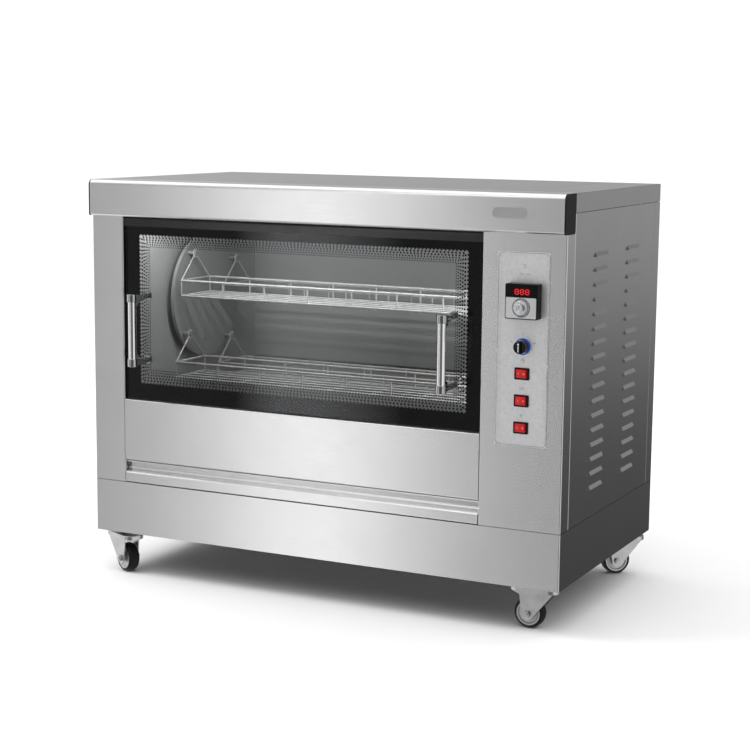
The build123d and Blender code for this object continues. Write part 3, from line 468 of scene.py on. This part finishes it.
glass_lo, glass_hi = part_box("door_glass")
INK_T = 0.1 * MM
INK_GAP = 0.02 * MM
BORDER_LEFT, BORDER_RIGHT = 34.5 * MM, 32.5 * MM
BORDER_BOTTOM, BORDER_TOP = 34.5 * MM, 27.5 * MM
DOT_SIDES = 10
ink_y0 = glass_hi.y + INK_GAP
ink_y1 = ink_y0 + INK_T
mask_x0, mask_x1 = glass_lo.x + BORDER_LEFT, glass_hi.x - BORDER_RIGHT
mask_z0, mask_z1 = glass_lo.z + BORDER_BOTTOM, glass_hi.z - BORDER_TOP

bm = bmesh.new()
frame_slab(bm, inset_outline(glass_lo, glass_hi, 0.3 * MM, 3 * MM),
           rounded(mask_x0, mask_x1, mask_z0, mask_z1, 4 * MM), ink_y0, ink_y1)
piece("glass_border_print", bm, "frit", "door")

DOT_ROWS = (  # in mm: distance from the border at the sides, top and bottom; dot diameter; pitch
    (0.5, 0.5, 0.5, 4.6, 8.3),
    (6.8, 5.8, 7.0, 4.4, 8.3),
    (12.0, 11.0, 13.2, 4.0, 7.6),
    (17.0, 16.1, 19.4, 3.5, 6.9),
    (21.9, 21.0, 25.3, 3.0, 5.9),
    (26.1, 25.4, 30.6, 2.5, 4.8),
)


def dots_along(bm, start, end, pitch, radius, shift):
    """Evenly spaced dots on a line, moved along it by a share of their spacing."""
    length = (end - start).length
    count = max(1, round(length / pitch))
    for i in range(count):
        at = start.lerp(end, (i + shift) / count)
        slab(bm, disc(at.x, at.y, radius, DOT_SIDES), ink_y0, ink_y1)


bm = bmesh.new()
for index, (side, top, bottom, size, pitch) in enumerate(DOT_ROWS):
    left, right = mask_x0 + side * MM, mask_x1 - side * MM
    low, high = mask_z0 + bottom * MM, mask_z1 - top * MM
    corners = [Vector(c) for c in ((left, low), (right, low), (right, high), (left, high))]
    for start, end in zip(corners, corners[1:] + corners[:1]):
        dots_along(bm, start, end, pitch * MM, size * MM / 2, 0.5 * (index % 2))
piece("glass_dot_print", bm, "frit", "door")

# ---------------------------------------------------------------- thermostat face

case_lo, case_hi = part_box("thermostat_body")
dial_joint = Vector(JOINTS["dial_turn"]["pos_m"])
face_y = case_lo.y
case_x0, case_x1 = case_lo.x, case_hi.x
case_z0, case_z1 = case_lo.z, case_hi.z

PLATE_MARGIN, PLATE_TOP = 2.2 * MM, 42.5 * MM
HOLE_R_MM = 4  # the hole's points lie this far from the axis, bunched towards the plate's corners
bm = bmesh.new()
plate_outline = rounded(case_x0 + PLATE_MARGIN, case_x1 - PLATE_MARGIN,
                        case_z0 + PLATE_MARGIN, case_z0 + PLATE_TOP, 2 * MM, 7)
hole_outline = []
for x, z in plate_outline:
    away = Vector((x - dial_joint.x, z - dial_joint.z)).normalized() * HOLE_R_MM * MM
    hole_outline.append((dial_joint.x + away.x, dial_joint.z + away.y))
frame_slab(bm, plate_outline, hole_outline, face_y - 0.25 * MM, face_y + 0.02 * MM)
piece("thermostat_dial_plate", bm, "dial_plate", "cabinet")

TICKS, FIRST_TICK_DEG, TICK_STEP_DEG = 31, 240, 10
TICK_INNER_R = 15.0 * MM
LONG_TICK, SHORT_TICK = (18.2, 0.7), (16.8, 0.4)  # outer radius and width in mm
bm = bmesh.new()
for step in range(TICKS):
    angle = radians(FIRST_TICK_DEG - step * TICK_STEP_DEG)
    outer, width = LONG_TICK if step % 5 == 0 else SHORT_TICK
    inner, outer = TICK_INNER_R, outer * MM
    points = bar(dial_joint.x + inner * cos(angle), dial_joint.z + inner * sin(angle),
                 dial_joint.x + outer * cos(angle), dial_joint.z + outer * sin(angle), width * MM)
    slab(bm, points, face_y - 0.42 * MM, face_y - 0.3 * MM)
piece("thermostat_dial_scale", bm, "ink_white", "cabinet")

RING_OUTER_R, RING_INNER_R, RING_SIDES = 19.0 * MM, 14.4 * MM, 48
bm = bmesh.new()
frame_slab(bm, disc(dial_joint.x, dial_joint.z, RING_OUTER_R, RING_SIDES),
           disc(dial_joint.x, dial_joint.z, RING_INNER_R, RING_SIDES),
           face_y - 0.34 * MM, face_y - 0.2 * MM)
piece("thermostat_dial_ring", bm, "dial_grey", "cabinet")

WINDOW_HALF_W, WINDOW_HALF_H = 19.6 * MM, 5.9 * MM
window_x = (case_x0 + case_x1) / 2 + 1.5 * MM
window_z = case_z0 + 53.5 * MM
bm = bmesh.new()
slab(bm, rounded(window_x - WINDOW_HALF_W, window_x + WINDOW_HALF_W,
                 window_z - WINDOW_HALF_H, window_z + WINDOW_HALF_H, 1 * MM),
     face_y + 0.5 * MM, face_y + 0.78 * MM)
piece("thermostat_window", bm, "window", "cabinet")

# ends of a figure's seven segments, in widths and half heights
SEGMENTS = ((0, 2, 1, 2), (1, 2, 1, 1), (1, 1, 1, 0), (0, 0, 1, 0),
            (0, 0, 0, 1), (0, 1, 0, 2), (0, 1, 1, 1))
DIGITS, DIGIT_PITCH, DIGIT_W, DIGIT_H, DIGIT_STROKE = 3, 10.8, 7.2 * MM, 9.2 * MM, 1.5 * MM


def figure_eight(bm, x, z, width, height, stroke, y0, y1):
    """Seven-segment figure, all segments lit, with its lower left corner at x, z."""
    for ax, az, bx, bz in SEGMENTS:
        start = Vector((x + ax * width, z + az * height / 2))
        end = Vector((x + bx * width, z + bz * height / 2))
        gap = (end - start).normalized() * stroke * 0.35
        start, end = start + gap, end - gap
        slab(bm, bar(start.x, start.y, end.x, end.y, stroke), y0, y1)


bm = bmesh.new()
for place in range(DIGITS):
    figure_eight(bm, window_x + (-14.4 + place * DIGIT_PITCH) * MM, window_z - 4.6 * MM,
                 DIGIT_W, DIGIT_H, DIGIT_STROKE, face_y + 0.3 * MM, face_y + 0.52 * MM)
piece("thermostat_digits", bm, "glow", "cabinet")

knob_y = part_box("thermostat_knob")[0].y
bm = bmesh.new()
slab(bm, bar(dial_joint.x, dial_joint.z + 1.5 * MM, dial_joint.x, dial_joint.z + 6.4 * MM, 1.1 * MM),
     knob_y - 0.06 * MM, knob_y + 0.1 * MM)
piece("thermostat_pointer", bm, "red", "dial")

# ---------------------------------------------------------------- selector and switches

selector_joint = Vector(JOINTS["selector_turn"]["pos_m"])
grip_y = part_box("selector_knob")[0].y
index_y0, index_y1 = grip_y - 0.06 * MM, grip_y + 0.2 * MM
bm = bmesh.new()
slab(bm, bar(selector_joint.x, selector_joint.z - 8.2 * MM,
             selector_joint.x, selector_joint.z + 5.2 * MM, 1.5 * MM), index_y0, index_y1)
slab(bm, disc(selector_joint.x, selector_joint.z + 7.0 * MM, 1.5 * MM, 20), index_y0, index_y1)
piece("selector_index", bm, "ink_white", "selector")

ROCKER_FRONT = -5.6 * MM  # the rocker's front at its middle, from its pivot
ROCKER_RUN = 11.0  # its two halves come forward by 1 in 11 away from the middle
ROCKER_TILT = Matrix.Rotation(radians(-9), 4, "Z")
MARK_PROUD, MARK_T = 0.06 * MM, 0.12 * MM
MARK_X, MARK_R = 6.2 * MM, 2.0 * MM
MARK_HOLE = 0.62  # share of the ring mark's radius


def rocker_loops(bm, outline):
    """Front and back loops of a mark lying just proud of the rocker's two sloping faces."""
    points = [(x, ROCKER_FRONT - abs(x) / ROCKER_RUN - MARK_PROUD, z) for x, z in outline]
    front = [bm.verts.new(point) for point in points]
    back = [bm.verts.new((x, y + MARK_T, z)) for x, y, z in points]
    return front, back


for place in ROCKERS:
    pivot = Vector(JOINTS[f"{place}_rock"]["pos_m"])
    lo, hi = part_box(f"rocker_{place}")
    bm = bmesh.new()
    # a bar on one half
    front, back = rocker_loops(bm, bar(-MARK_X, -MARK_R, -MARK_X, MARK_R, 0.7 * MM))
    bm.faces.new(front)
    bm.faces.new(back[::-1])
    edge(bm, front, back)
    # a ring on the other half
    outline = disc(MARK_X, 0.0, MARK_R, 24)
    front, back = rocker_loops(bm, outline)
    hole = [(MARK_X + (x - MARK_X) * MARK_HOLE, z * MARK_HOLE) for x, z in outline]
    hole_front, hole_back = rocker_loops(bm, hole)
    bridge(bm, front, hole_front)
    bridge(bm, hole_front, hole_back)
    bridge(bm, hole_back, back)
    edge(bm, front, back)
    bmesh.ops.transform(bm, matrix=Matrix.Translation(pivot) @ ROCKER_TILT, verts=bm.verts)
    piece(f"rocker_{place}_marks", bm, "ink_pink", f"rocker_{place}")

# ---------------------------------------------------------------- fascia marks (plain signs, no lettering)

fascia_lo, fascia_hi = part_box("fascia_plate")
fascia_y = fascia_lo.y + 0.5 * MM

bm = bmesh.new()
frame_slab(bm, inset_outline(fascia_lo, fascia_hi, 0.6 * MM, 9 * MM),
           inset_outline(fascia_lo, fascia_hi, 2.6 * MM, 7 * MM), fascia_y - 0.9 * MM, fascia_y + 0.02 * MM)
piece("fascia_rim", bm, "bright", "cabinet")
mark_y0, mark_y1 = fascia_y - 0.08 * MM, fascia_y + 0.02 * MM


THIN, THICK = 0.55, 0.7  # stroke widths in mm
MARK_SIDES = 28
SIGN_RISE = 24.5 * MM  # from a rocker's pivot up to its sign


def strokes(bm, cx, cz, lines, width=THIN):
    """Straight strokes round a centre, their ends given in mm."""
    for x0, z0, x1, z1 in lines:
        slab(bm, bar(cx + x0 * MM, cz + z0 * MM, cx + x1 * MM, cz + z1 * MM, width * MM), mark_y0, mark_y1)


def ring_mark(bm, cx, cz, radius):
    """Thin ring, its radius in mm."""
    frame_slab(bm, disc(cx, cz, radius * MM, MARK_SIDES), disc(cx, cz, (radius - THIN) * MM, MARK_SIDES),
               mark_y0, mark_y1)


bm = bmesh.new()
for place, sign in (("top", "turn"), ("middle", "heat"), ("bottom", "lamp")):
    pivot = Vector(JOINTS[f"{place}_rock"]["pos_m"])
    cz = pivot.z + SIGN_RISE
    if sign == "turn":
        ring_mark(bm, pivot.x, cz, 3.4)
        strokes(bm, pivot.x, cz, ((3.1, 0.2, 4.6, 1.6), (3.1, 0.2, 1.6, 1.4)))
    elif sign == "heat":
        for x in (-3.6, 0.0, 3.6):
            strokes(bm, pivot.x + x * MM, cz,
                    ((-0.8, -3.2, 0.8, -1.1), (0.8, -1.1, -0.8, 1.0), (-0.8, 1.0, 0.8, 3.2)))
    else:
        ring_mark(bm, pivot.x, cz, 2.0)
        for i in range(8):
            a = 2 * pi * i / 8
            strokes(bm, pivot.x, cz, ((2.9 * cos(a), 2.9 * sin(a), 4.1 * cos(a), 4.1 * sin(a)),))
strokes(bm, selector_joint.x, selector_joint.z + 24 * MM, ((0, -2.2, 0, 2.2),), THICK)
ring_mark(bm, selector_joint.x, selector_joint.z - 25 * MM, 2.3)
strokes(bm, selector_joint.x - 24 * MM, selector_joint.z + 8 * MM, ((-2.2, 0, 2.2, 0),), THICK)
strokes(bm, selector_joint.x + 24 * MM, selector_joint.z + 8 * MM,
        ((-2.2, 0.9, 2.2, 0.9), (-2.2, -0.9, 2.2, -0.9)), THICK)
ring_mark(bm, selector_joint.x + 1 * MM, case_z1 + 33 * MM, 3.2)
strokes(bm, selector_joint.x + 1 * MM, case_z1 + 17 * MM, ((-11, 0, -3, 0), (3, 0, 11, 0)), THICK)
piece("fascia_marks", bm, "ink", "cabinet")

# ---------------------------------------------------------------- blank badge on the hood

hood_lo, hood_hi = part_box("front_hood")
badge_x, badge_z = hood_hi.x - 112 * MM, (hood_lo.z + hood_hi.z) / 2


def badge_outline(half_w, half_h, radius):
    """Rounded outline round the badge's centre, its sizes in mm."""
    return rounded(badge_x - half_w * MM, badge_x + half_w * MM,
                   badge_z - half_h * MM, badge_z + half_h * MM, radius * MM, 10)


bm = bmesh.new()
badge_edge = badge_outline(36, 11, 10.5)
slab(bm, badge_edge, hood_lo.y - 0.02 * MM, hood_lo.y + 0.02 * MM)
frame_slab(bm, badge_edge, badge_outline(34.6, 9.6, 9.2), hood_lo.y - 0.5 * MM, hood_lo.y)
piece("hood_blank_badge", bm, "tube", "cabinet")

# ---------------------------------------------------------------- floor, light, camera

FLOOR_LINES = (-40.0, -8.0, -2.0, 2.0, 8.0, 40.0)
bm = bmesh.new()
rows = [[bm.verts.new((x, y, 0.0)) for x in FLOOR_LINES] for y in FLOOR_LINES]
for first, second in zip(rows, rows[1:]):
    for i in range(len(FLOOR_LINES) - 1):
        bm.faces.new((first[i], first[i + 1], second[i + 1], second[i]))
floor_mesh = bpy.data.meshes.new("studio_floor")
bm.to_mesh(floor_mesh)
bm.free()
paper = Shader("studio_paper", (0.93, 0.93, 0.93), 0.0, 0.9)
paper.vary_color(paper.noise(3.0), 0.004)
floor_mesh.materials.append(paper.material)
floor = bpy.data.objects.new("studio_floor", floor_mesh)
COLLECTION.objects.link(floor)
floor.visible_glossy = False
floor.visible_shadow = False

world = bpy.data.worlds.new("studio")
bpy.context.scene.world = world
world.use_nodes = True
wt = world.node_tree
wt.nodes.clear()
w_out = wt.nodes.new("ShaderNodeOutputWorld")
w_co = wt.nodes.new("ShaderNodeTexCoord")
w_sep = wt.nodes.new("ShaderNodeSeparateXYZ")
wt.links.new(w_co.outputs["Generated"], w_sep.inputs["Vector"])


RAMP_SCALE = 2.0


def w_math(operation, first, second):
    node = wt.nodes.new("ShaderNodeMath")
    node.operation = operation
    for socket, value in enumerate((first, second)):
        if isinstance(value, (int, float)):
            node.inputs[socket].default_value = value
        else:
            wt.links.new(value, node.inputs[socket])
    return node.outputs["Value"]


def w_curve(value, stops):
    """Piecewise linear curve of a value, as a colour ramp on greys. stops are (position, level).

    The ramp's own greys are the levels over RAMP_SCALE.
    """
    ramp = wt.nodes.new("ShaderNodeValToRGB")
    elements = ramp.color_ramp.elements
    while len(elements) > 1:
        elements.remove(elements[-1])
    elements[0].position = stops[0][0]
    elements[0].color = (stops[0][1] / RAMP_SCALE,) * 3 + (1,)
    for position, level in stops[1:]:
        element = elements.new(position)
        element.color = (level / RAMP_SCALE,) * 3 + (1,)
    wt.links.new(value, ramp.inputs["Fac"])
    return w_math("MULTIPLY", ramp.outputs["Color"], RAMP_SCALE)


def w_turn(value, stops):
    """Curve of an azimuth in degrees, 0 towards -y and 90 towards +x."""
    return w_curve(value, [((degrees + 180) / 360, level) for degrees, level in stops])


back_y = w_math("MULTIPLY", w_sep.outputs["Y"], -1.0)
azimuth = w_math("ARCTAN2", w_sep.outputs["X"], back_y)
azimuth = w_math("ADD", w_math("DIVIDE", azimuth, 2 * pi), 0.5)
AROUND = ((-180, 0.4), (-152, 0.5), (-110, 1.0), (-66, 1.0), (-46, 0.36), (-30.2, 0.34), (-29.6, 2.5),
          (-27.0, 2.5), (-26.4, 0.34), (-12, 0.38), (0, 0.17), (46, 0.1), (54, 1.0), (84, 0.82),
          (116, 0.82), (140, 0.4), (180, 0.35))
around = w_turn(azimuth, AROUND)
# behind the oven the level follows the height too: this is how far it does, for each azimuth
behind = w_turn(azimuth, ((-180, 1.0), (-120, 0.4), (-80, 0.0), (100, 0.0), (150, 1.0), (180, 1.0)))
height = w_math("ADD", w_math("MULTIPLY", w_sep.outputs["Z"], 0.5), 0.5)
low = w_curve(height, ((0.0, 0.8), (0.2, 0.6), (0.32, 0.16), (0.36, 0.12), (0.41, 0.19), (0.43, 0.4),
                       (0.455, 0.9), (0.475, 1.0), (0.5, 1.05), (0.56, 0.86), (0.6, 0.78), (0.625, 0.4),
                       (0.665, 0.8), (1.0, 0.7)))
falloff = w_math("ADD", 1.0, w_math("MULTIPLY", behind, w_math("SUBTRACT", low, 1.0)))
overhead = w_curve(height, ((0.0, 0.0), (0.7, 0.0), (0.86, 0.6), (1.0, 0.9)))
# soft top light: the sky of the studio is bright, its horizon is dim, so the space under the oven is dark
sky = w_curve(height, ((0.0, 0.9), (0.47, 0.9), (0.5, 0.03), (0.72, 0.05), (0.86, 1.6), (1.0, 2.0)))
glossy_level = w_math("ADD", w_math("MULTIPLY", around, falloff), overhead)
w_path = wt.nodes.new("ShaderNodeLightPath")


def w_background(level):
    node = wt.nodes.new("ShaderNodeBackground")
    if isinstance(level, float):
        node.inputs["Color"].default_value = (level, level, level, 1.0)
    else:
        wt.links.new(level, node.inputs["Color"])
    return node.outputs["Background"]


def w_mix(factor, first, second):
    node = wt.nodes.new("ShaderNodeMixShader")
    wt.links.new(factor, node.inputs["Fac"])
    wt.links.new(first, node.inputs[1])
    wt.links.new(second, node.inputs[2])
    return node.outputs["Shader"]


lit = w_mix(w_path.outputs["Is Diffuse Ray"], w_background(glossy_level), w_background(sky))
seen = w_mix(w_path.outputs["Is Camera Ray"], lit, w_background(1.0))
wt.links.new(seen, w_out.inputs["Surface"])


def softbox(name, location, target, width, height, power):
    """Area light that no reflection and no camera ray shows."""
    light = bpy.data.lights.new(name, "AREA")
    light.shape = "RECTANGLE"
    light.size, light.size_y = width, height
    light.energy = power
    made = bpy.data.objects.new(name, light)
    COLLECTION.objects.link(made)
    made.location = location
    made.rotation_euler = (Vector(target) - Vector(location)).to_track_quat("-Z", "Y").to_euler()
    made.visible_glossy = False
    made.visible_camera = False


softbox("key_left", (-2.6, -1.4, 3.6), (0, 0, 0.3), width=1.6, height=1.6, power=60)
cavity_lo, cavity_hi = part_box("liner_wrap")
cavity_x, cavity_z = (cavity_lo.x + cavity_hi.x) / 2, (cavity_lo.z + cavity_hi.z) / 2
softbox("cavity_light", (cavity_x, cavity_lo.y + 60 * MM, cavity_hi.z - 12 * MM),
        (cavity_x, cavity_lo.y + 260 * MM, cavity_lo.z), width=0.9, height=0.05, power=4.6)
softbox("cavity_side", (cavity_hi.x - 14 * MM, cavity_lo.y + 150 * MM, cavity_z),
        (cavity_lo.x, cavity_lo.y + 260 * MM, cavity_z), width=0.2, height=0.3, power=1.3)

# lens, angles in radians and place of a camera that sees the oven as the photo does
LENS_MM, SENSOR_MM = 82.55, 36.0
YAW, PITCH, ROLL = 0.4583, 0.1522, 0.0099
stand = Vector((1.6746, -3.377, 1.029))
camera_data = bpy.data.cameras.new("camera")
camera_data.lens = LENS_MM
camera_data.sensor_width = SENSOR_MM
camera_data.clip_end = 60.0
camera = bpy.data.objects.new("camera", camera_data)
COLLECTION.objects.link(camera)
forward = Vector((-sin(YAW) * cos(PITCH), cos(YAW) * cos(PITCH), -sin(PITCH)))
level_right = Vector((cos(YAW), sin(YAW), 0))
level_up = level_right.cross(forward)
right = level_right * cos(ROLL) + level_up * sin(ROLL)
up = level_up * cos(ROLL) - level_right * sin(ROLL)
camera.matrix_world = Matrix((
    (right.x, up.x, -forward.x, stand.x),
    (right.y, up.y, -forward.y, stand.y),
    (right.z, up.z, -forward.z, stand.z),
    (0, 0, 0, 1)))
bpy.context.scene.camera = camera
bpy.context.scene.view_settings.view_transform = "Standard"
